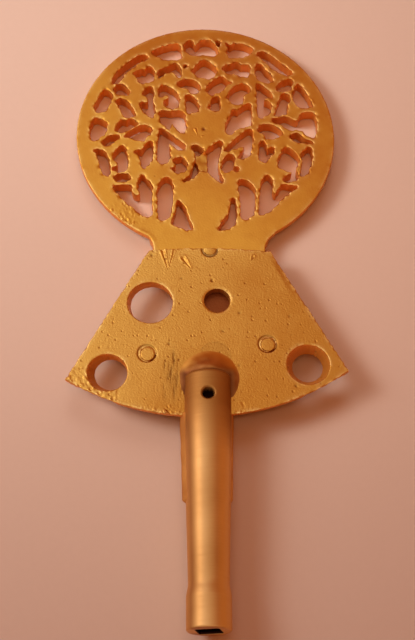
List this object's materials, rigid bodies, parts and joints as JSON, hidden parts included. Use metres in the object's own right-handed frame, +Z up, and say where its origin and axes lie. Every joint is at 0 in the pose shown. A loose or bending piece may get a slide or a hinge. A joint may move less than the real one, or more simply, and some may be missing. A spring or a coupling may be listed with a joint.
{
  "type": "clock key",
  "caption": "Brass clock winding key: round pierced scrollwork bow and drilled fan-shaped plate, brazed to a turned pipe with a square socket at its tip.",
  "frame": {"origin": "centre of the bounding box in plan, at the height of the table that the pipe's underside rests on", "axes": "+Y along the key from the socket to the bow, +Z up out of the face with the fan standing proud, +X to the right seen from that face"},
  "size_m": [0.0278, 0.067, 0.0047],
  "materials": {
    "gilt_head": "worn fire gilding on a sawn and scraped plate",
    "gilt_fan": "frosted, pitted fire gilding",
    "turned_pipe": "turned brass, polished by handling",
    "filed_pin": "filed flush",
    "braze": "browned spelter braze"
  },
  "bodies": {
    "root": {"pierced_head": "gilt_head", "fan_plate": "gilt_fan", "key_pipe": "turned_pipe", "left_steady_pin": "filed_pin", "right_steady_pin": "filed_pin", "seam_dowel": "filed_pin", "front_pipe_braze": "braze", "back_pipe_braze": "braze", "left_slot_fill": "braze", "right_slot_fill": "braze", "tongue_braze": "braze"}
  },
  "joints": []
}
